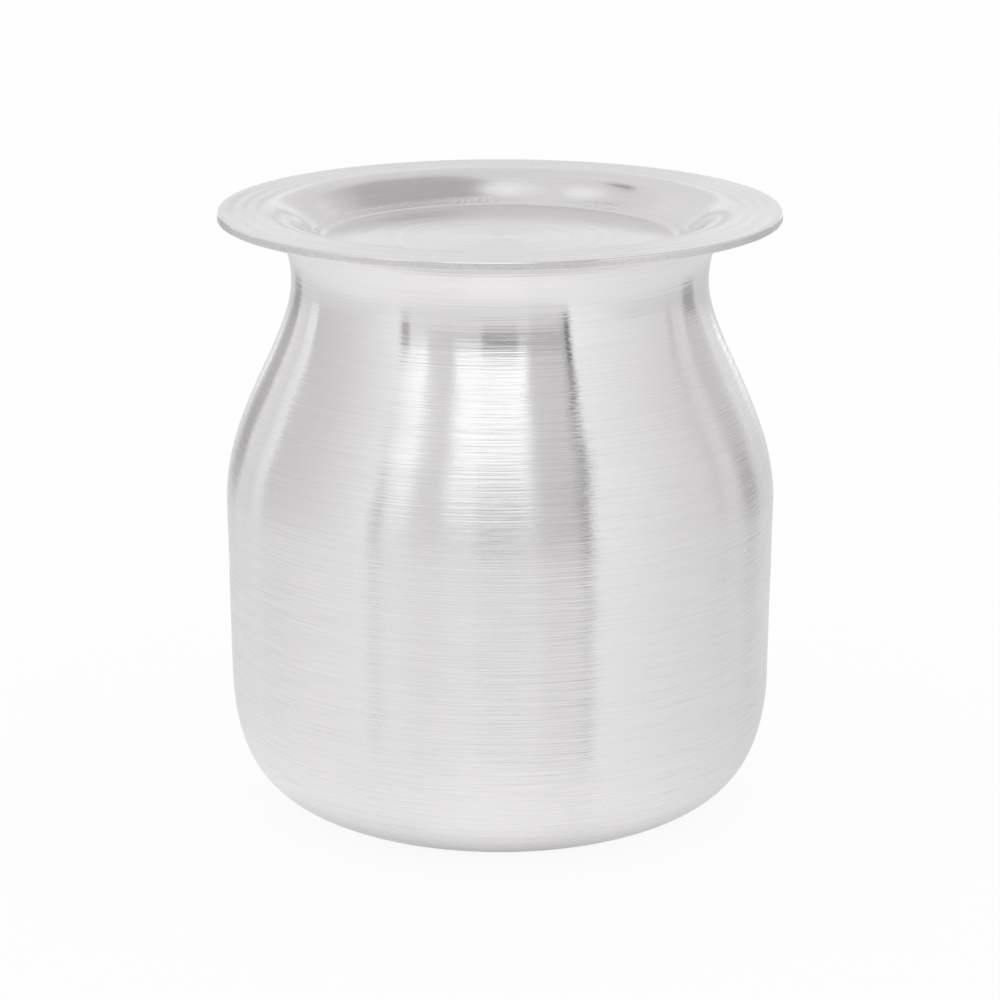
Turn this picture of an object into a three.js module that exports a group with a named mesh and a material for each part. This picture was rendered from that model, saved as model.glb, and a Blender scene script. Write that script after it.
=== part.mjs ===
// A lota: a round-shouldered South Asian water pot of spun aluminium, closed by a dished lid.
// Units are millimetres and +Z is up. The origin is the centre of the base, on the table.
// Both pieces are spun from sheet. Each one is a face line in (radius, height), from the axis
// outwards, that is thickened by the sheet's own thickness and turned round the axis.

import * as THREE from "three";

// Sheet
const potWall = 0.9;
const lidWall = 0.8;

// Pot, measured on its outside
const baseRadius = 38.2;
const cornerHeight = 31;
const cornerSlope = 20;
const bellyRadius = 59.6;
const bellyHeight = 69;
const wallTaper = 0.5;
const neckRadius = 44.85;
const neckHeight = 117;
const neckLength = 0.5;
const flareHeight = 13;
const brimFlat = 7.55;
const brimProud = 0.8;

// Lid, measured on its lower side
const lidFlangeWidth = 10.1;
const lidDepth = 6.5;
const lidFloorInset = 5;
const seatGap = 0.05;

// How far each bend reaches, as a share of the height or width that its curve covers
const cornerReach = 0.415;
const wallReach = 0.84;
const shoulderFullness = 0.395;
const neckHollow = 0.27;
const lidFloorBend = 0.13;
const lidShoulderBend = 0.48;

// Smoothness of the turned surfaces
const spinSteps = 64;
const cornerSteps = 10;
const shoulderSteps = 11;
const flareSteps = 8;
const lidSteps = 9;

// Sizes that follow from the ones above
const neckBoreRadius = neckRadius - potWall;
const brimRadius = bellyRadius + brimProud;
const flareRadius = brimRadius - brimFlat;
const flareStart = neckHeight + neckLength;
const brimUnderside = flareStart + flareHeight;
const brimTop = brimUnderside + potWall;
const lidSeat = brimTop + seatGap;
const lidFlangeStart = brimRadius - lidFlangeWidth;
const lidFloorRadius = neckBoreRadius - lidFloorInset;

const potAluminium = new THREE.MeshStandardMaterial({
  color: 0xe3e2e3,
  roughness: 0.32,
  metalness: 1,
});

const lidAluminium = new THREE.MeshStandardMaterial({
  color: 0xe3e2e3,
  roughness: 0.28,
  metalness: 1,
});

function point(radius, height) {
  return new THREE.Vector2(radius, height);
}

// Rounded corner from the edge of the base, where it rises at the corner's slope in degrees,
// up to the side wall, where it ends upright.
function bottomCorner() {
  const wallRadius = bellyRadius - wallTaper;
  const reach = (wallRadius - baseRadius) * cornerReach;
  const rise = reach * Math.tan(THREE.MathUtils.degToRad(cornerSlope));
  const curve = new THREE.CubicBezierCurve(
    point(baseRadius, 0),
    point(baseRadius + reach, rise),
    point(wallRadius, cornerHeight * (1 - wallReach)),
    point(wallRadius, cornerHeight),
  );
  return curve.getPoints(cornerSteps);
}

// From the widest part of the belly over the shoulder and into the neck, upright at both ends.
function shoulder() {
  const height = neckHeight - bellyHeight;
  const curve = new THREE.CubicBezierCurve(
    point(bellyRadius, bellyHeight),
    point(bellyRadius, bellyHeight + height * shoulderFullness),
    point(neckRadius, neckHeight - height * neckHollow),
    point(neckRadius, neckHeight),
  );
  return curve.getPoints(shoulderSteps);
}

// From the upright neck out to the level brim, a quarter of an ellipse.
function flare() {
  const ellipse = new THREE.EllipseCurve(
    flareRadius,
    flareStart,
    flareRadius - neckRadius,
    flareHeight,
    Math.PI,
    Math.PI / 2,
    true,
  );
  return ellipse.getPoints(flareSteps);
}

// Outside of the pot, from the middle of its base to the rim of its brim.
function potFace() {
  return [
    point(0, 0),
    ...bottomCorner(),
    ...shoulder(),
    ...flare(),
    point(brimRadius, brimUnderside),
  ];
}

// Lower side of the lid, from the middle of its sunk floor to the rim of its flange.
function lidFace() {
  const floor = lidSeat - lidDepth;
  const width = lidFlangeStart - lidFloorRadius;
  const wall = new THREE.CubicBezierCurve(
    point(lidFloorRadius, floor),
    point(lidFloorRadius + width * lidFloorBend, floor),
    point(lidFlangeStart - width * lidShoulderBend, lidSeat),
    point(lidFlangeStart, lidSeat),
  );
  return [
    point(0, floor),
    ...wall.getPoints(lidSteps),
    point(brimRadius, lidSeat),
  ];
}

// The other side of the sheet: each facet moves by the thickness along its own normal,
// towards the axis and upwards, and neighbouring facets meet where they cross.
function otherSide(face, thickness) {
  const normals = face.slice(1).map((end, i) => {
    const along = end.clone().sub(face[i]).normalize();
    return point(-along.y, along.x);
  });
  return face.map((corner, i) => {
    const before = normals[Math.max(i - 1, 0)];
    const after = normals[Math.min(i, normals.length - 1)];
    const reach = thickness / (1 + before.dot(after));
    return corner.clone().add(before.clone().add(after).multiplyScalar(reach));
  });
}

// A named piece of spun sheet. The profile is turned round Y, and the mesh is stood up so that
// its axis is Z.
function spunSheet(name, face, thickness, material) {
  const profile = [...face, ...otherSide(face, thickness).reverse()];
  const mesh = new THREE.Mesh(new THREE.LatheGeometry(profile, spinSteps), material);
  mesh.name = name;
  mesh.rotation.x = Math.PI / 2;
  return mesh;
}

const lota = new THREE.Group();
lota.add(spunSheet("pot_body", potFace(), potWall, potAluminium));
lota.add(spunSheet("lid", lidFace(), lidWall, lidAluminium));

export default lota;
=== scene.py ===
# A lota: a spun aluminium water pot with a loose dished lid, on a white studio table.
# Units are metres, +Z is up, and the origin is the centre of the base.

import math
from dataclasses import dataclass

import bpy
import numpy as np
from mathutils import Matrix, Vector


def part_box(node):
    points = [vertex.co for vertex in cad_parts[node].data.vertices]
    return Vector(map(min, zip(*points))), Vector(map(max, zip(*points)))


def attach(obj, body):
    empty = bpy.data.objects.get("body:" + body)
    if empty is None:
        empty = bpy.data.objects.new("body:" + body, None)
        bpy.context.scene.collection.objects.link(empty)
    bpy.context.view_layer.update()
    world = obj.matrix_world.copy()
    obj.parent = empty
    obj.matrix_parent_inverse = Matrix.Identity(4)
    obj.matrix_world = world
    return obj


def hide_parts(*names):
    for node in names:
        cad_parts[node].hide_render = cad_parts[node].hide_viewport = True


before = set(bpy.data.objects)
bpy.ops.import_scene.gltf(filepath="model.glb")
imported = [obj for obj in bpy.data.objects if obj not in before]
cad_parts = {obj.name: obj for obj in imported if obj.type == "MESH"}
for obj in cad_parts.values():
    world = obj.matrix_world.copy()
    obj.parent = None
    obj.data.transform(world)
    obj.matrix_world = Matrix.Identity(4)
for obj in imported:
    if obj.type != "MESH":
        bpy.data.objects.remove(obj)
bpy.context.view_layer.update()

# Pot and lid, read from the frame
_, pot_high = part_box("pot_body")
_, lid_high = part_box("lid")
BRIM_RADIUS = pot_high.x
BRIM_TOP = pot_high.z
LID_TOP = lid_high.z

# Sheet, with the lid lying on the brim
POT_WALL = 0.0009
SEAT_GAP = 0.00001
LID_WALL = LID_TOP - BRIM_TOP - SEAT_GAP
POT_EDGE_ROUND = 0.00022
LID_EDGE_ROUND = 0.0003
LID_BURR = 0.00004
LID_BURR_WIDTH = 0.0009
SEAM_ROUND = 0.00002

# Pot, measured on its outside
BASE_RADIUS = 0.0382
CORNER_HEIGHT = 0.031
CORNER_SLOPE = math.radians(20)
CORNER_REACH = 0.415
WALL_REACH = 0.84
BELLY_RADIUS = 0.0596
BELLY_HEIGHT = 0.069
WALL_TAPER = 0.0005
NECK_RADIUS = 0.04485
NECK_HEIGHT = 0.117
NECK_LENGTH = 0.0005
BRIM_FLAT = 0.00755
SHOULDER_FULLNESS = 0.395
NECK_HOLLOW = 0.27

# Lid, measured on its upper side
LID_DEPTH = 0.0065
LID_FLOOR_RADIUS = 0.037
LID_CREASE = 0.0394
LID_FLANGE_START = 0.0503
LID_FLOOR_BEND = 0.31
LID_SHOULDER_BEND = 0.48

# Name of the mesh attribute that holds the distance along the profile, in metres
SWEEP = "sweep"

# Unevenness of hand-spun sheet: each wave's count round the axis, radians per metre and phase
WAVES = ((2, 40, 0.4), (3, -95, 1.9), (5, 160, 4.2), (9, -260, 2.7), (14, 420, 5.3))

# Height of the waves. On the pot they grow between two heights and fade out just below the neck.
# On the lid they grow outwards from its floor and fade out just inside its flange.
POT_WAVE = 0.00008
POT_WAVE_START = 0.008
POT_WAVE_FULL = 0.03
POT_WAVE_FADE = 0.02
LID_WAVE = 0.00012
LID_WAVE_RISE = 0.005
LID_WAVE_FADE = 0.0033

# Fineness of the turned meshes: steps in metres, the fewest steps of a curve and of a corner, and
# how near two radii are to count as one
SPIN_STEPS = 256
FINE_STEP = 0.0007
COARSE_STEP = 0.0016
LID_BEND_STEP = FINE_STEP / 2
EDGE_STEP = 0.00006
CURVE_STEPS = 4
CORNER_STEPS = 3
SAME_RADIUS = 1e-6

# Camera, fitted to the outline in the photo
SENSOR_WIDTH_MM = 36.0
LENS_MM = 121.57
AIM = Vector((0.0, 0.0, 0.0672))
CAMERA_DISTANCE = 0.7396
CAMERA_PITCH = math.radians(15.42)


def make_camera():
    data = bpy.data.cameras.new("camera")
    data.sensor_width = SENSOR_WIDTH_MM
    data.lens = LENS_MM
    camera = bpy.data.objects.new("camera", data)
    back = Vector((0.0, -math.cos(CAMERA_PITCH), math.sin(CAMERA_PITCH)))
    camera.location = AIM + back * CAMERA_DISTANCE
    camera.rotation_mode = "QUATERNION"
    camera.rotation_quaternion = (-back).to_track_quat("-Z", "Y")
    bpy.context.scene.collection.objects.link(camera)
    bpy.context.scene.camera = camera


make_camera()


# Profiles are arrays of (radius, height), from the axis outwards along one side of the sheet.


def line(start, end, step):
    start, end = np.array(start), np.array(end)
    count = max(1, round(float(np.linalg.norm(end - start)) / step))
    return start + (end - start) * np.linspace(0, 1, count + 1)[:, None]


def arc(centre, across, up, start, end, step):
    count = max(CURVE_STEPS, round(max(across, up) * abs(end - start) / step))
    angle = np.linspace(start, end, count + 1)
    return np.stack([centre[0] + across * np.cos(angle), centre[1] + up * np.sin(angle)], 1)


def bezier(p0, p1, p2, p3, step):
    span = np.linalg.norm(np.array(p3) - np.array(p0))
    t = np.linspace(0, 1, max(CURVE_STEPS, round(float(span) / step)) + 1)[:, None]
    weights = ((1 - t) ** 3, 3 * t * (1 - t) ** 2, 3 * t**2 * (1 - t), t**3)
    return sum(w * np.array(p) for w, p in zip(weights, (p0, p1, p2, p3)))


def joined(*parts):
    """One line out of parts that end where the next begins."""
    return np.concatenate([parts[0], *[part[1:] for part in parts[1:]]])


def normals_of(points):
    """Unit normals on the left of the line."""
    along = np.gradient(points, axis=0)
    along /= np.linalg.norm(along, axis=1)[:, None]
    return np.stack([-along[:, 1], along[:, 0]], 1)


def moved_left(points, distance):
    return points + normals_of(points) * distance


def edge_round(corner, back, ahead, radius):
    """Quarter-round corner. The line before it lies back from the corner, and the next one ahead."""
    corner, back, ahead = (np.array(v, float) for v in (corner, back, ahead))
    centre = corner + back * radius + ahead * radius
    count = max(CORNER_STEPS, round(radius * math.pi / 2 / EDGE_STEP))
    angle = np.linspace(0, math.pi / 2, count + 1)[:, None]
    return centre - ahead * radius * np.cos(angle) - back * radius * np.sin(angle)


def pot_outside(step):
    """The pot's outside, from the middle of its base to just before the edge of its brim."""
    wall_radius = BELLY_RADIUS - WALL_TAPER
    reach = (wall_radius - BASE_RADIUS) * CORNER_REACH
    rise = NECK_HEIGHT - BELLY_HEIGHT
    flare_radius = BRIM_RADIUS - BRIM_FLAT
    flare_start = NECK_HEIGHT + NECK_LENGTH
    underside = BRIM_TOP - POT_WALL
    return joined(
        line((0, 0), (BASE_RADIUS, 0), step),
        bezier(
            (BASE_RADIUS, 0),
            (BASE_RADIUS + reach, reach * math.tan(CORNER_SLOPE)),
            (wall_radius, CORNER_HEIGHT * (1 - WALL_REACH)),
            (wall_radius, CORNER_HEIGHT),
            step,
        ),
        line((wall_radius, CORNER_HEIGHT), (BELLY_RADIUS, BELLY_HEIGHT), step),
        bezier(
            (BELLY_RADIUS, BELLY_HEIGHT),
            (BELLY_RADIUS, BELLY_HEIGHT + rise * SHOULDER_FULLNESS),
            (NECK_RADIUS, NECK_HEIGHT - rise * NECK_HOLLOW),
            (NECK_RADIUS, NECK_HEIGHT),
            step,
        ),
        line((NECK_RADIUS, NECK_HEIGHT), (NECK_RADIUS, flare_start), step),
        arc(
            (flare_radius, flare_start),
            flare_radius - NECK_RADIUS,
            underside - flare_start,
            math.pi,
            math.pi / 2,
            step,
        ),
        line((flare_radius, underside), (BRIM_RADIUS - POT_EDGE_ROUND, underside), step),
    )


def lid_upper(burr):
    """The lid's upper side, from the middle of its floor, with a burr of this height along its rim."""
    floor = LID_TOP - LID_DEPTH
    width = LID_FLANGE_START - LID_FLOOR_RADIUS
    burr_start = BRIM_RADIUS - LID_BURR_WIDTH
    burr_end = BRIM_RADIUS - LID_EDGE_ROUND
    middle = (burr_start + burr_end) / 2
    return joined(
        line((0, floor), (LID_FLOOR_RADIUS, floor), FINE_STEP),
        bezier(
            (LID_FLOOR_RADIUS, floor),
            (LID_FLOOR_RADIUS + width * LID_FLOOR_BEND, floor),
            (LID_FLANGE_START - width * LID_SHOULDER_BEND, LID_TOP),
            (LID_FLANGE_START, LID_TOP),
            LID_BEND_STEP,
        ),
        line((LID_FLANGE_START, LID_TOP), (burr_start, LID_TOP), FINE_STEP),
        bezier(
            (burr_start, LID_TOP),
            (middle, LID_TOP),
            (middle, LID_TOP + burr),
            (burr_end, LID_TOP + burr),
            EDGE_STEP,
        ),
    )


def sheet_edge(radius, low, high, low_round, high_round):
    """The cut edge of a sheet, upright, with both corners rounded."""
    return joined(
        edge_round((radius, low), (-1, 0), (0, 1), low_round),
        line((radius, low + low_round), (radius, high - high_round), EDGE_STEP),
        edge_round((radius, high), (0, -1), (-1, 0), high_round),
    )


def waves(angle, place):
    """Gentle unevenness, about -1 to 1, over the angle round the axis and a place in metres."""
    total = np.zeros(np.broadcast_shapes(angle.shape, place.shape))
    for count, per_metre, phase in WAVES:
        total += np.sin(count * angle + per_metre * place + phase)
    return total / len(WAVES)


def eased(value, start, end):
    """0 at start, 1 at end, smooth between."""
    t = np.clip((value - start) / (end - start), 0, 1)
    return t * t * (3 - 2 * t)


def pot_wobble(radius, height, angle):
    """Moves the side of the pot in and out, and leaves its base and brim true."""
    grown = eased(height, POT_WAVE_START, POT_WAVE_FULL)
    share = grown * eased(height, NECK_HEIGHT, NECK_HEIGHT - POT_WAVE_FADE)
    return radius + POT_WAVE * share * waves(angle, height), height


def lid_wobble(radius, height, angle):
    """Moves the lid's slope up and down, and leaves its floor and flange true."""
    grown = eased(radius, LID_FLOOR_RADIUS, LID_FLOOR_RADIUS + LID_WAVE_RISE)
    share = grown * eased(radius, LID_FLANGE_START, LID_FLANGE_START - LID_WAVE_FADE)
    return radius, height + LID_WAVE * share * waves(angle, radius)


def placed(name, mesh):
    """An object with this mesh, put in the scene."""
    piece = bpy.data.objects.new(name, mesh)
    bpy.context.scene.collection.objects.link(piece)
    return piece


def turned_faces(ring_count):
    """Quads between neighbouring rings, then a fan round each of the two poles, whose points come
    after those of the rings."""
    ring, spoke = np.meshgrid(np.arange(ring_count - 1), np.arange(SPIN_STEPS), indexing="ij")
    after = (spoke + 1) % SPIN_STEPS
    quads = np.stack(
        [
            ring * SPIN_STEPS + spoke,
            ring * SPIN_STEPS + after,
            (ring + 1) * SPIN_STEPS + after,
            (ring + 1) * SPIN_STEPS + spoke,
        ],
        2,
    ).reshape(-1, 4)
    first_pole = ring_count * SPIN_STEPS
    last_pole = first_pole + 1
    last_ring = first_pole - SPIN_STEPS
    start_fan = [(first_pole, (i + 1) % SPIN_STEPS, i) for i in range(SPIN_STEPS)]
    end_fan = [(last_pole, last_ring + i, last_ring + (i + 1) % SPIN_STEPS) for i in range(SPIN_STEPS)]
    return quads.tolist() + start_fan + end_fan


def turned(name, profile, wobble):
    """A closed mesh: the profile, which starts and ends on the axis, turned round Z. Its upright
    cut edge takes the second material, and each point keeps its distance along the profile."""
    rings = profile[1:-1]
    angle = np.arange(SPIN_STEPS) * (2 * math.pi / SPIN_STEPS)
    radius, height = wobble(rings[:, 0, None], rings[:, 1, None], angle[None, :])
    x = radius * np.cos(angle)
    y = radius * np.sin(angle)
    z = np.broadcast_to(height, x.shape)
    verts = np.concatenate(
        [np.stack([x, y, z], 2).reshape(-1, 3), [[0, 0, profile[0, 1]]], [[0, 0, profile[-1, 1]]]]
    )
    mesh = bpy.data.meshes.new(name)
    mesh.from_pydata(verts.tolist(), [], turned_faces(len(rings)))
    mesh.shade_smooth()
    mesh.update()
    along = np.concatenate([[0], np.cumsum(np.linalg.norm(np.diff(profile, axis=0), axis=1))])
    sweep = np.concatenate([np.repeat(along[1:-1], SPIN_STEPS), [along[0], along[-1]]])
    mesh.attributes.new(SWEEP, "FLOAT", "POINT").data.foreach_set("value", sweep)
    on_edge = np.abs(rings[:, 0] - BRIM_RADIUS) < SAME_RADIUS
    cut_faces = np.repeat(on_edge[:-1] & on_edge[1:], SPIN_STEPS)
    indices = np.concatenate([cut_faces, np.zeros(2 * SPIN_STEPS)]).astype(np.int32)
    mesh.polygons.foreach_set("material_index", indices)
    return placed(name, mesh)


def make_pot():
    outside = pot_outside(FINE_STEP)
    inside = moved_left(pot_outside(COARSE_STEP), POT_WALL)
    inside[0, 0] = 0
    edge = sheet_edge(BRIM_RADIUS, BRIM_TOP - POT_WALL, BRIM_TOP, POT_EDGE_ROUND, SEAM_ROUND)
    return turned("spun_pot", joined(outside, edge, inside[::-1]), pot_wobble)


def make_lid():
    upper = lid_upper(LID_BURR)
    lower = moved_left(lid_upper(0.0), -LID_WALL)
    lower[0, 0] = 0
    edge = sheet_edge(BRIM_RADIUS, LID_TOP - LID_WALL, LID_TOP + LID_BURR, SEAM_ROUND, LID_EDGE_ROUND)
    return turned("dished_lid", joined(lower, edge, upper[::-1]), lid_wobble)


# Materials. Streaks are given by their thickness and length in metres, with their detail where
# it isn't STREAK_DETAIL, and a layer of relief by thickness, length, detail and depth. Anisotropy
# is how strongly the turning marks stretch the highlights.

ALUMINIUM = (0.78, 0.766, 0.77)
QUARTER_TURN = 0.25
STREAK_DETAIL = 2.0
STREAK_ROUGHNESS = 0.6

# Pot: its grooves, nicks and feed marks
POT_ANISOTROPY = 1.0
POT_GROOVES = (
    (0.00042, 0.02, STREAK_DETAIL, 82e-6),
    (0.0006, 0.04, STREAK_DETAIL, 72e-6),
    (0.0003, 0.0015, 1.0, 5e-6),
)
POT_UNEVEN = (0.006, 0.03, 1.0)
POT_UNEVEN_DEPTH = 60e-6
FEED_PITCH = 0.00065
FEED_DEPTH = 4e-6

# Towards the neck the pot's relief weakens to NECK_RELIEF, and DULL_SHARE of its roughness weakens
# along with it. The belly is rougher by BELLY_DULLNESS, and the flare's colour is painted brighter:
# painted light that makes up for the shade of the shoulder that the flare mirrors.
NECK_SMOOTH_START = NECK_HEIGHT - 0.020
NECK_SMOOTH_END = NECK_HEIGHT - 0.006
NECK_RELIEF = 0.5
DULL_SHARE = 0.64
BELLY_END = NECK_HEIGHT - 0.035
SHOULDER_START = NECK_HEIGHT - 0.025
BELLY_DULLNESS = 1.22
FLARE_PAINTED_LIGHT_START = NECK_HEIGHT + 0.001
FLARE_PAINTED_LIGHT_END = NECK_HEIGHT + 0.007
FLARE_PAINTED_LIGHT = 1.05
POT_SCRATCHES = (0.0004, 0.014)
POT_SCRATCH_RANGE = (0.4, 0.7)
POT_ROUGHNESS = (0.16, 0.24)
POT_TONE_STREAKS = (0.0004, 0.03)
POT_TONE = (0.975, 1.02)
TONE_RANGE = (0.3, 0.7)

# Lid: rings on its flange, chatter marks in its crease, and long fine streaks all over. The
# rings' phase is in radians.
LID_ANISOTROPY = 0.6
RING_PITCH = 0.00305
RIM_PHASE = 0.875
RING_PHASE = RIM_PHASE + 2 * math.pi * BRIM_RADIUS / RING_PITCH
RING_DEPTH = 14e-6
RINGS_START = LID_FLANGE_START - 0.002
RINGS_FULL = LID_FLANGE_START + 0.001
FLANGE_STREAKS = (0.0005, 0.08)
FLANGE_STREAK_DEPTH = 25e-6
FLANGE_FALL = math.tan(math.radians(1.2))
CHATTER = (0.0007, 0.0009)
CHATTER_DEPTH = 180e-6
CREASE_FULL = 0.0003
CREASE_END = 0.0011
LID_STREAKS = (0.0004, 0.05)
LID_STREAK_DEPTH = 14e-6
LID_UNEVEN = (0.006, 0.02, 1.0)
LID_UNEVEN_DEPTH = 60e-6
LID_SCRATCHES = (0.0005, 0.04)
LID_SCRATCH_RANGE = (0.45, 0.75)
LID_ROUGHNESS = (0.14, 0.22)
LID_TONE = (0.97, 1.02)

# Trimmed edge of both sheets
CUT_ALUMINIUM = (0.69, 0.672, 0.672)
CUT_ROUGHNESS = 0.4
CUT_MOTTLE = (0.0005, 0.0005)
CUT_TONE = (0.9, 1.1)
CUT_NICKS = ((0.0009, 0.0005, STREAK_DETAIL, 40e-6), (0.0003, 0.008, STREAK_DETAIL, 20e-6))

# Sockets of the Mix node
MIX_FACTOR = 0
MIX_NUMBER_A = 2
MIX_NUMBER_B = 3
MIX_NUMBER_RESULT = 0
MIX_COLOUR_A = 6
MIX_COLOUR_B = 7
MIX_COLOUR_RESULT = 2


class Nodes:
    """Short calls for building one material's or world's node tree."""

    def __init__(self, tree):
        self.tree = tree
        tree.nodes.clear()

    def add(self, kind, **settings):
        node = self.tree.nodes.new(kind)
        for key, value in settings.items():
            setattr(node, key, value)
        return node

    def link(self, out, into):
        self.tree.links.new(out, into)

    def math(self, operation, a, b=0.0, c=0.0):
        node = self.add("ShaderNodeMath", operation=operation)
        for socket, value in zip(node.inputs, (a, b, c)):
            if isinstance(value, bpy.types.NodeSocket):
                self.link(value, socket)
            else:
                socket.default_value = value
        return node.outputs[0]

    def vector(self, operation, a, b=None):
        node = self.add("ShaderNodeVectorMath", operation=operation)
        self.link(a, node.inputs[0])
        if isinstance(b, bpy.types.NodeSocket):
            self.link(b, node.inputs[1])
        elif b is not None:
            node.inputs[1].default_value = b
        single = operation in ("LENGTH", "DOT_PRODUCT")
        return node.outputs["Value"] if single else node.outputs["Vector"]

    def ranged(self, value, from_low, from_high, to_low, to_high):
        node = self.add("ShaderNodeMapRange", clamp=True)
        self.link(value, node.inputs["Value"])
        node.inputs["From Min"].default_value = from_low
        node.inputs["From Max"].default_value = from_high
        node.inputs["To Min"].default_value = to_low
        node.inputs["To Max"].default_value = to_high
        return node.outputs["Result"]

    def place(self):
        return self.add("ShaderNodeTexCoord").outputs["Object"]

    def point_value(self, name):
        """A mesh attribute's value at the shaded point."""
        return self.add("ShaderNodeAttribute", attribute_type="GEOMETRY", attribute_name=name).outputs["Fac"]

    def mixed(self, factor, first, second):
        """A mix of two shaders."""
        mix = self.add("ShaderNodeMixShader")
        self.link(factor, mix.inputs[0])
        self.link(first, mix.inputs[1])
        self.link(second, mix.inputs[2])
        return mix.outputs[0]

    def surface(self, shader, kind="ShaderNodeOutputMaterial"):
        self.link(shader, self.add(kind).inputs["Surface"])


def new_material(name):
    material = bpy.data.materials.new(name)
    material.use_nodes = True
    return material, Nodes(material.node_tree)


def streaks(nodes, thickness, length, detail=STREAK_DETAIL):
    """Noise in streaks that run round the axis, of about this thickness and length in metres."""
    across = nodes.add("ShaderNodeCombineXYZ")
    nodes.link(nodes.math("DIVIDE", nodes.point_value(SWEEP), thickness), across.inputs["Z"])
    along = nodes.vector("MULTIPLY", nodes.place(), (1 / length, 1 / length, 0))
    noise = nodes.add("ShaderNodeTexNoise", noise_dimensions="3D")
    nodes.link(nodes.vector("ADD", along, across.outputs[0]), noise.inputs["Vector"])
    noise.inputs["Scale"].default_value = 1.0
    noise.inputs["Detail"].default_value = detail
    noise.inputs["Roughness"].default_value = STREAK_ROUGHNESS
    return noise.outputs["Fac"]


def layers(nodes, rows):
    """Streaks and depth for each row of thickness, length, detail and depth."""
    return [(streaks(nodes, thickness, length, detail), depth) for thickness, length, detail, depth in rows]


def feed_marks(nodes, wander):
    """The even wave that the turning tool leaves, -1 to 1, drifting a little with wander."""
    turns = nodes.math("DIVIDE", nodes.point_value(SWEEP), FEED_PITCH)
    phase = nodes.math("MULTIPLY", nodes.math("ADD", turns, wander), 2 * math.pi)
    return nodes.math("SINE", phase)


def summed(nodes, parts):
    """Sum of (value, depth) pairs: a height in metres."""
    total = 0.0
    for value, depth in parts:
        total = nodes.math("MULTIPLY_ADD", value, depth, total)
    return total


def pot_finish(nodes):
    """Relief in metres, roughness and tone of the pot: coarse grooves on the belly, a smoother neck
    and flare, and painted light that makes the flare's colour brighter."""
    place = nodes.add("ShaderNodeSeparateXYZ")
    nodes.link(nodes.place(), place.inputs[0])
    height = place.outputs["Z"]
    coarse = nodes.ranged(height, NECK_SMOOTH_START, NECK_SMOOTH_END, 1.0, NECK_RELIEF)
    uneven = streaks(nodes, *POT_UNEVEN)
    grooves = summed(
        nodes,
        (
            *layers(nodes, POT_GROOVES),
            (feed_marks(nodes, uneven), FEED_DEPTH),
            (uneven, POT_UNEVEN_DEPTH),
        ),
    )
    scratched = nodes.ranged(streaks(nodes, *POT_SCRATCHES), *POT_SCRATCH_RANGE, *POT_ROUGHNESS)
    fine = nodes.ranged(streaks(nodes, *POT_TONE_STREAKS), *TONE_RANGE, *POT_TONE)
    dull = nodes.math("MULTIPLY_ADD", coarse, DULL_SHARE, 1 - DULL_SHARE)
    belly = nodes.ranged(height, BELLY_END, SHOULDER_START, BELLY_DULLNESS, 1.0)
    # Painted light: the flare's colour is made brighter, standing in for light it loses by mirroring the
    # shoulder
    flare_painted_light = nodes.ranged(height, FLARE_PAINTED_LIGHT_START, FLARE_PAINTED_LIGHT_END, 1.0, FLARE_PAINTED_LIGHT)
    return (
        nodes.math("MULTIPLY", grooves, coarse),
        nodes.math("MULTIPLY", scratched, nodes.math("MULTIPLY", dull, belly)),
        nodes.math("MULTIPLY", fine, flare_painted_light),
    )


def lid_finish(nodes):
    """Relief in metres, roughness and tone of the lid: fine streaks, rings on the flange, which
    falls a little towards its rim, and chatter marks where the floor bends up."""
    radius = nodes.vector("LENGTH", nodes.vector("MULTIPLY", nodes.place(), (1, 1, 0)))
    flange = nodes.ranged(radius, RINGS_START, RINGS_FULL, 0.0, 1.0)
    away = nodes.math("ABSOLUTE", nodes.math("SUBTRACT", radius, LID_CREASE))
    crease = nodes.ranged(away, CREASE_FULL, CREASE_END, 1.0, 0.0)
    turns = nodes.math("DIVIDE", radius, -RING_PITCH)
    ring = nodes.math("SINE", nodes.math("MULTIPLY_ADD", turns, 2 * math.pi, RING_PHASE))
    chatter = nodes.math("MULTIPLY", streaks(nodes, *CHATTER), crease)
    beyond = nodes.ranged(radius, LID_FLANGE_START, BRIM_RADIUS, 0.0, LID_FLANGE_START - BRIM_RADIUS)
    relief = summed(
        nodes,
        (
            (nodes.math("MULTIPLY", ring, flange), RING_DEPTH),
            (nodes.math("MULTIPLY", streaks(nodes, *FLANGE_STREAKS), flange), FLANGE_STREAK_DEPTH),
            (beyond, FLANGE_FALL),
            (streaks(nodes, *LID_STREAKS), LID_STREAK_DEPTH),
            (chatter, CHATTER_DEPTH),
            (streaks(nodes, *LID_UNEVEN), LID_UNEVEN_DEPTH),
        ),
    )
    scratched = nodes.ranged(streaks(nodes, *LID_SCRATCHES), *LID_SCRATCH_RANGE, *LID_ROUGHNESS)
    return relief, scratched, nodes.ranged(streaks(nodes, *LID_STREAKS), *TONE_RANGE, *LID_TONE)


def shade_metal(nodes, shader, colour, tone, relief):
    """Gives a metal shader its colour times tone and its relief, and puts it on the surface."""
    shader.inputs["Metallic"].default_value = 1.0
    toned = nodes.add("ShaderNodeVectorMath", operation="SCALE")
    toned.inputs[0].default_value = colour
    nodes.link(tone, toned.inputs["Scale"])
    nodes.link(toned.outputs["Vector"], shader.inputs["Base Color"])
    bump = nodes.add("ShaderNodeBump")
    bump.inputs["Strength"].default_value = 1.0
    bump.inputs["Distance"].default_value = 1.0
    nodes.link(relief, bump.inputs["Height"])
    nodes.link(bump.outputs["Normal"], shader.inputs["Normal"])
    nodes.surface(shader.outputs["BSDF"])


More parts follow.
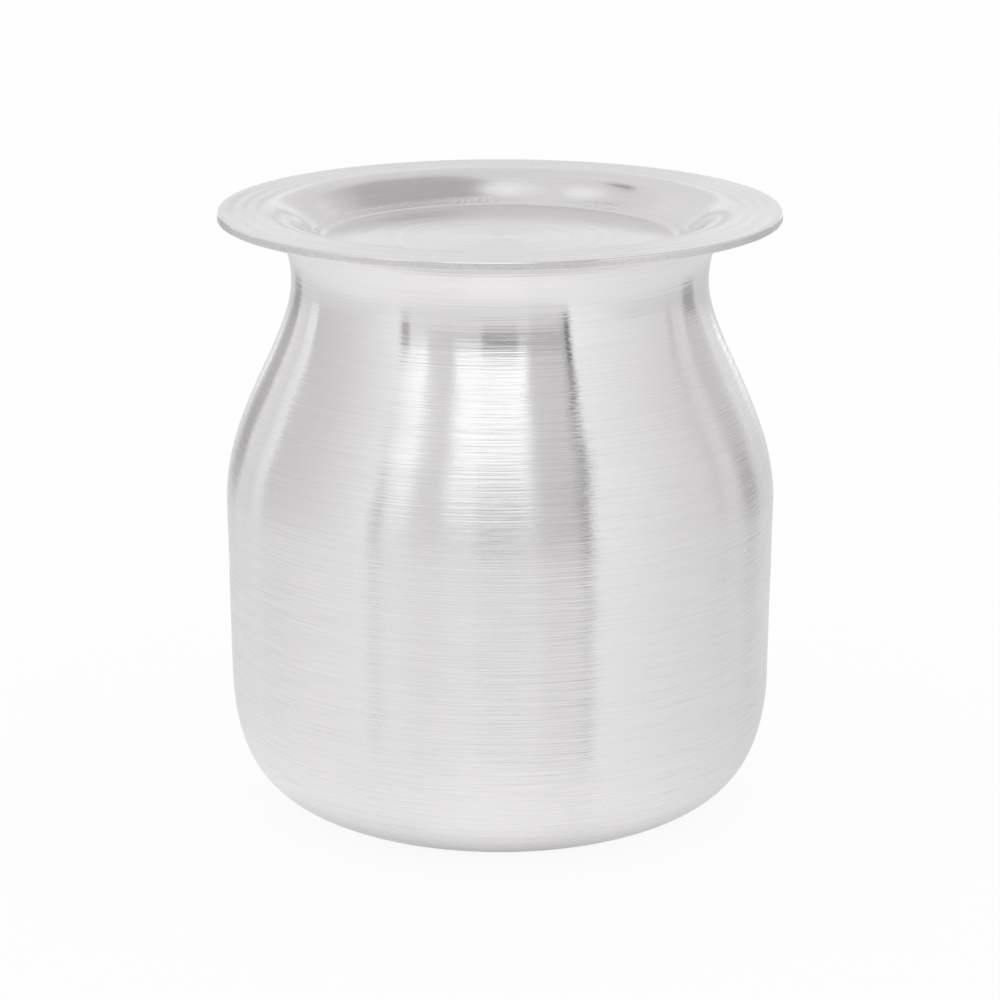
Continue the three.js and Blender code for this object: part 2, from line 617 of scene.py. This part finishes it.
def spun_aluminium(name, finish, anisotropy):
    """Spun sheet with grooves round the axis. Its finish makes the relief, roughness and tone."""
    material, nodes = new_material(name)
    shader = nodes.add("ShaderNodeBsdfPrincipled")
    shader.inputs["Anisotropic"].default_value = anisotropy
    shader.inputs["Anisotropic Rotation"].default_value = QUARTER_TURN
    relief, roughness, tone = finish(nodes)
    nodes.link(roughness, shader.inputs["Roughness"])
    tangent = nodes.add("ShaderNodeTangent", direction_type="RADIAL", axis="Z")
    nodes.link(tangent.outputs["Tangent"], shader.inputs["Tangent"])
    shade_metal(nodes, shader, ALUMINIUM, tone, relief)
    return material


def cut_edge():
    """The trimmed edge of the sheet: greyer, with fine nicks across it."""
    material, nodes = new_material("cut_edge")
    shader = nodes.add("ShaderNodeBsdfPrincipled")
    shader.inputs["Roughness"].default_value = CUT_ROUGHNESS
    tone = nodes.ranged(streaks(nodes, *CUT_MOTTLE), *TONE_RANGE, *CUT_TONE)
    shade_metal(nodes, shader, CUT_ALUMINIUM, tone, summed(nodes, layers(nodes, CUT_NICKS)))
    return material


trimmed = cut_edge()
pot = make_pot()
pot.data.materials.append(spun_aluminium("pot_aluminium", pot_finish, POT_ANISOTROPY))
pot.data.materials.append(trimmed)
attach(pot, "pot")
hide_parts("pot_body")

lid = make_lid()
lid.data.materials.append(spun_aluminium("lid_aluminium", lid_finish, LID_ANISOTROPY))
lid.data.materials.append(trimmed)
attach(lid, "cover")
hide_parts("lid")


# Studio: a white table, white surroundings, and cards that only the metal sees

WHITE = 0.99
SURROUNDINGS = 0.88

# Table, a hair below the base so that the two planes don't coincide
TABLE_FRONT = -0.24
TABLE_HALF_WIDTH = 0.8
TABLE_BACK = 1.0
TABLE_CLEARANCE = 0.00005

# The table is mostly glow, both to the camera and in the metal, and otherwise paper that takes the
# pot's shadow. In the metal the glow begins a little way out from the base, changes with the
# distance, is shaded towards the back right, more so near the pot, and is brighter in front.
# SHADE_START and FRONT_START are cosines of the angle to their directions.
TABLE_EVENNESS = 0.93
CONTACT_START = 0.041
CONTACT_END = 0.058
NEAR_GLOW = 1.04
NEAR_END = 0.06
MIDDLE_START = 0.14
MIDDLE_GLOW = 0.98
MIDDLE_END = 0.3
FAR_START = 0.5
FAR_DIM = 0.85
SHADE_TOWARDS = (0.35, 0.94, 0.0)
SHADE_START = -0.6
NEAR_SHADE = 0.32
SHADE = 0.2
FRONT_TOWARDS = (-0.05, -1.0, 0.0)
FRONT_START = 0.93
FRONT_GLOW = 1.05

# Tints of a dark card and of a bright one
DARK_LEVEL = 0.4
DARK_TINT = (1.01, 0.989, 0.984, 1.0)
BRIGHT_LEVEL = 1.3
BRIGHT_TINT = (0.989, 1.005, 1.002, 1.0)

# Cards: the radius of the pot's side that mirrors them, their distances from the axis, the gap
# from one to the next, and how fine their meshes are
MIRROR_RADIUS = 0.055
CARD_DISTANCE = 1.2
NEAR_CARD = 0.28
CARD_GAP = 0.01
COLUMN_DEGREES = 3
ROW_DEGREES = 5

# Lean of the cards at the dark gap, in degrees per squared degree of elevation. A card up to
# STRIP_DEGREES wide leans as a whole, and a wider one keeps its right edge upright.
LEAN = 0.0037
STRIP_DEGREES = 15


def white_table():
    """Paper that glows."""
    material, nodes = new_material("white_table")
    paper = nodes.add("ShaderNodeBsdfDiffuse")
    paper.inputs["Color"].default_value = (WHITE, WHITE, WHITE, 1.0)
    path = nodes.add("ShaderNodeLightPath")
    place = nodes.place()
    away = nodes.vector("LENGTH", place)
    course = nodes.vector("NORMALIZE", place)
    near = nodes.ranged(away, NEAR_END, MIDDLE_START, NEAR_GLOW, MIDDLE_GLOW)
    far = nodes.ranged(away, MIDDLE_END, FAR_START, 1.0, FAR_DIM)
    behind = nodes.vector("DOT_PRODUCT", course, SHADE_TOWARDS)
    shade_share = nodes.ranged(behind, SHADE_START, 1.0, 0.0, 1.0)
    shade_depth = nodes.ranged(away, NEAR_END, MIDDLE_START, -NEAR_SHADE, -SHADE)
    shade = nodes.math("MULTIPLY_ADD", shade_share, shade_depth, 1.0)
    ahead = nodes.vector("DOT_PRODUCT", course, FRONT_TOWARDS)
    front = nodes.ranged(ahead, FRONT_START, 1.0, 1.0, FRONT_GLOW)
    glow = nodes.math("MULTIPLY", nodes.math("MULTIPLY", near, far), nodes.math("MULTIPLY", shade, front))
    level = nodes.add("ShaderNodeMix", data_type="FLOAT")
    nodes.link(path.outputs["Is Camera Ray"], level.inputs[MIX_FACTOR])
    nodes.link(glow, level.inputs[MIX_NUMBER_A])
    level.inputs[MIX_NUMBER_B].default_value = WHITE
    plain = nodes.add("ShaderNodeEmission")
    nodes.link(level.outputs[MIX_NUMBER_RESULT], plain.inputs["Strength"])
    clear = nodes.ranged(away, CONTACT_START, CONTACT_END, 0.0, TABLE_EVENNESS)
    mirrored = nodes.math("MAXIMUM", path.outputs["Is Glossy Ray"], path.outputs["Is Transmission Ray"])
    mirrored = nodes.math("MULTIPLY", mirrored, clear)
    seen = nodes.math("MULTIPLY", path.outputs["Is Camera Ray"], TABLE_EVENNESS)
    share = nodes.math("MAXIMUM", seen, mirrored)
    nodes.surface(nodes.mixed(share, paper.outputs[0], plain.outputs[0]))
    return material


def make_table():
    mesh = bpy.data.meshes.new("table")
    corners = [
        (-TABLE_HALF_WIDTH, TABLE_FRONT, -TABLE_CLEARANCE),
        (TABLE_HALF_WIDTH, TABLE_FRONT, -TABLE_CLEARANCE),
        (TABLE_HALF_WIDTH, TABLE_BACK, -TABLE_CLEARANCE),
        (-TABLE_HALF_WIDTH, TABLE_BACK, -TABLE_CLEARANCE),
    ]
    mesh.from_pydata(corners, [], [(0, 1, 2, 3)])
    mesh.materials.append(white_table())
    table = placed("table", mesh)


def make_world():
    world = bpy.data.worlds.new("studio")
    bpy.context.scene.world = world
    world.use_nodes = True
    nodes = Nodes(world.node_tree)
    path = nodes.add("ShaderNodeLightPath")
    sky = nodes.add("ShaderNodeBackground")
    sky.inputs["Color"].default_value = (WHITE, WHITE, WHITE, 1.0)
    surroundings = nodes.add("ShaderNodeBackground")
    surroundings.inputs["Color"].default_value = (SURROUNDINGS, SURROUNDINGS, SURROUNDINGS, 1.0)
    shader = nodes.mixed(path.outputs["Is Glossy Ray"], sky.outputs[0], surroundings.outputs[0])
    nodes.surface(shader, "ShaderNodeOutputWorld")


def make_card_light():
    """One glow for all cards: each card's own level, warmer where it is darker, fading out where
    its cover does."""
    material, nodes = new_material("card_light")
    level = nodes.point_value("level")
    glow = nodes.add("ShaderNodeEmission")
    nodes.link(level, glow.inputs["Strength"])
    tint = nodes.add("ShaderNodeMix", data_type="RGBA")
    nodes.link(nodes.ranged(level, DARK_LEVEL, BRIGHT_LEVEL, 0.0, 1.0), tint.inputs[MIX_FACTOR])
    tint.inputs[MIX_COLOUR_A].default_value = DARK_TINT
    tint.inputs[MIX_COLOUR_B].default_value = BRIGHT_TINT
    nodes.link(tint.outputs[MIX_COLOUR_RESULT], glow.inputs["Color"])
    clear = nodes.add("ShaderNodeBsdfTransparent")
    nodes.surface(nodes.mixed(nodes.point_value("cover"), clear.outputs[0], glow.outputs[0]))
    return material


@dataclass
class Card:
    """An upright curved card that only the metal mirrors. Angles are in degrees. Azimuths are the
    directions in which the pot's side mirrors the card: 0 is towards the camera, and they grow to
    the photo's right. Levels are the brightness at the two azimuths. The side edges blend over
    soft, and the lower and upper ones over fade, unless top_fade gives the upper one its own.
    With lean, the left edge moves right above the horizon, by lean times the elevation squared,
    and a narrow card moves with it."""

    name: str
    azimuths: tuple
    elevations: tuple
    levels: tuple
    soft: float = 1.5
    fade: float = 4.0
    top_fade: float | None = None
    lean: float = 0.0
    distance: float = CARD_DISTANCE


def card_turn(mirrored, distance):
    """Angle round the axis at which a ray ends that the pot's side mirrors towards this azimuth."""
    start = MIRROR_RADIUS * np.array([math.sin(mirrored / 2), math.cos(mirrored / 2)])
    towards = np.array([math.sin(mirrored), math.cos(mirrored)])
    ahead = float(start @ towards)
    length = math.sqrt(ahead**2 + distance**2 - MIRROR_RADIUS**2) - ahead
    end = start + towards * length
    return math.atan2(end[0], end[1])


def card_point(azimuth, elevation, radius):
    """The point on a card at this radius that the pot's side mirrors in this direction."""
    turn = card_turn(math.radians(azimuth), radius)
    rise = math.radians(elevation)
    across = radius * math.cos(rise)
    return (across * math.sin(turn), -across * math.cos(turn), AIM.z + radius * math.sin(rise))


def card_grid(card):
    """Azimuths of a card's columns and elevations of its rows. The first and last of each are its
    clear edges."""
    left, right = card.azimuths
    low, high = card.elevations
    top_fade = card.fade if card.top_fade is None else card.top_fade
    inner_columns = max(2, round((right - left) / COLUMN_DEGREES) + 1)
    inner_rows = max(2, round((high - low) / ROW_DEGREES) + 1)
    columns = [left, *np.linspace(left + card.soft, right - card.soft, inner_columns), right]
    rows = [low, *np.linspace(low + card.fade, high - top_fade, inner_rows), high]
    return columns, rows


def make_card(card, radius, material):
    left, right = card.azimuths
    first_level, last_level = card.levels
    columns, rows = card_grid(card)
    verts, level, cover = [], [], []
    for azimuth in columns:
        share = (azimuth - left) / (right - left)
        leaning = 1 - share if right - left > STRIP_DEGREES else 1
        for elevation in rows:
            shift = card.lean * max(elevation, 0) ** 2 * leaning
            verts.append(card_point(azimuth + shift, elevation, radius))
            level.append(first_level + (last_level - first_level) * share)
            cover.append(float(azimuth not in card.azimuths and elevation not in card.elevations))
    faces = []
    for column in range(len(columns) - 1):
        for row in range(len(rows) - 1):
            first = column * len(rows) + row
            faces.append((first, first + 1, first + len(rows) + 1, first + len(rows)))
    mesh = bpy.data.meshes.new(card.name)
    mesh.from_pydata(verts, [], faces)
    mesh.attributes.new("level", "FLOAT", "POINT").data.foreach_set("value", level)
    mesh.attributes.new("cover", "FLOAT", "POINT").data.foreach_set("value", cover)
    mesh.materials.append(material)
    piece = placed(card.name, mesh)
    piece.visible_camera = False
    piece.visible_diffuse = False
    piece.visible_shadow = False


# Cards stand behind one another in this order, with the few at NEAR_CARD in front of them all.
# The first ones are close to the horizon, in front of the windows.
LOW_CARDS = (
    Card("stand", (-10, 9.8), (-2, 20), (0.32, 0.34), soft=1.0, fade=10, top_fade=2.5),
    Card("left_post", (-54.8, -48.8), (-8, 19), (0.44, 0.44), soft=1.4, fade=7),
    Card("shelf", (-42, 35.5), (2, 17), (0.74, 0.38), soft=5.0, fade=5, top_fade=3),
    Card("room", (-52, 14.5), (-13, 16), (0.88, 0.85), soft=2.0, fade=8, top_fade=4),
)

# Windows and what stands between them, then the sides and back of the room
ROOM_CARDS = (
    Card("left_window", (-60, -38), (13, 75), (1.03, 1.38), soft=3.5, fade=5),
    Card("window_bar", (-41, -24.5), (-16, 75), (0.85, 0.83), soft=2.5, fade=8),
    Card("front_window", (-26, 15.8), (15.5, 78), (1.32, 1.34), soft=2.5, fade=4),
    Card("right_wall", (37.1, 101), (-30, 70), (1.05, 0.81), soft=0.5, fade=10, lean=LEAN),
    Card("right_gap", (34.8, 37.9), (-17, 58), (0.06, 0.06), soft=0.6, fade=10, lean=LEAN),
    Card("gap_shade", (31, 41), (-14, 56), (0.58, 0.58), soft=3.0, fade=8, lean=LEAN),
    Card("right_screen", (15, 38.5), (-18, 60), (0.78, 0.72), soft=2.0, fade=6),
    Card("right_back_line", (100.5, 107), (-30, 60), (0.7, 0.7), soft=1.5, fade=10),
    Card("right_back_wall", (106, 120), (-30, 60), (0.78, 0.88), soft=2.0, fade=10),
    Card("right_back_gap", (119, 135), (-18, 4), (0.38, 0.4), soft=3.0, distance=NEAR_CARD),
    Card("right_back_shade", (116, 140), (-18, 60), (0.68, 0.74), soft=3.0, fade=6, distance=NEAR_CARD),
    Card("right_back_glow", (155, 177), (-14, 10), (1.25, 1.75), soft=5.0, fade=4),
    Card("left_wall_end", (-116, -86), (-30, 60), (0.69, 0.8), soft=1.0, fade=10),
    Card("left_wall", (-88, -55), (-30, 60), (0.79, 1.03), soft=2.0, fade=10),
    Card("left_back_gap", (-153.5, -140), (-18, 4), (0.42, 0.45), soft=3.0, distance=NEAR_CARD),
    Card("left_back_shade", (-158, -139), (-18, 24), (0.6, 0.6), soft=3.0, fade=5, distance=NEAR_CARD),
    Card("left_back_wall", (-140, -124), (-30, 50), (0.92, 0.81), soft=2.0, fade=10),
    Card("left_back_corner", (-125, -115), (-30, 50), (0.98, 1.0), soft=1.0, fade=10),
    Card("left_back_glow", (-177, -157), (-14, 10), (1.6, 1.15), soft=5.0, fade=4),
)

# Above and behind, which mainly the lid mirrors
HIGH_CARDS = (
    Card("left_clamp", (-162.5, -153.5), (52, 61), (0.15, 0.15), fade=2.5, distance=NEAR_CARD),
    Card("lamp_above", (-126, -108), (57, 73), (1.25, 1.25), soft=5.0, fade=4),
    Card("zenith", (-179, 179), (83, 89.5), (1.08, 1.08), soft=2.0, fade=3, top_fade=0.3),
    Card("zenith_left", (-112, -30), (74, 85), (1.08, 1.08), soft=10.0, fade=3),
    Card("dark_above", (58, 172), (31, 85), (0.48, 0.54), soft=13.0, fade=18, top_fade=3),
    Card("left_above", (-160, -84), (38, 82), (0.81, 0.81), soft=8.0, fade=6),
    Card("back_glow", (166, 194), (11, 19), (0.99, 0.99), soft=6.0, fade=2.5),
    Card("back_dim", (163, 197), (7.5, 15), (0.68, 0.68), soft=5.0, fade=2.5),
    Card("behind", (150, 215), (15, 84), (0.76, 0.87), soft=10.0, fade=6),
    Card("back_low", (152, 208), (-13, 4), (1.4, 1.6), soft=6.0, fade=2),
)

make_table()
make_world()
card_light = make_card_light()
for place_in_line, card in enumerate((*LOW_CARDS, *ROOM_CARDS, *HIGH_CARDS), 1):
    make_card(card, card.distance + CARD_GAP * place_in_line, card_light)

bpy.context.scene.view_settings.view_transform = "Standard"
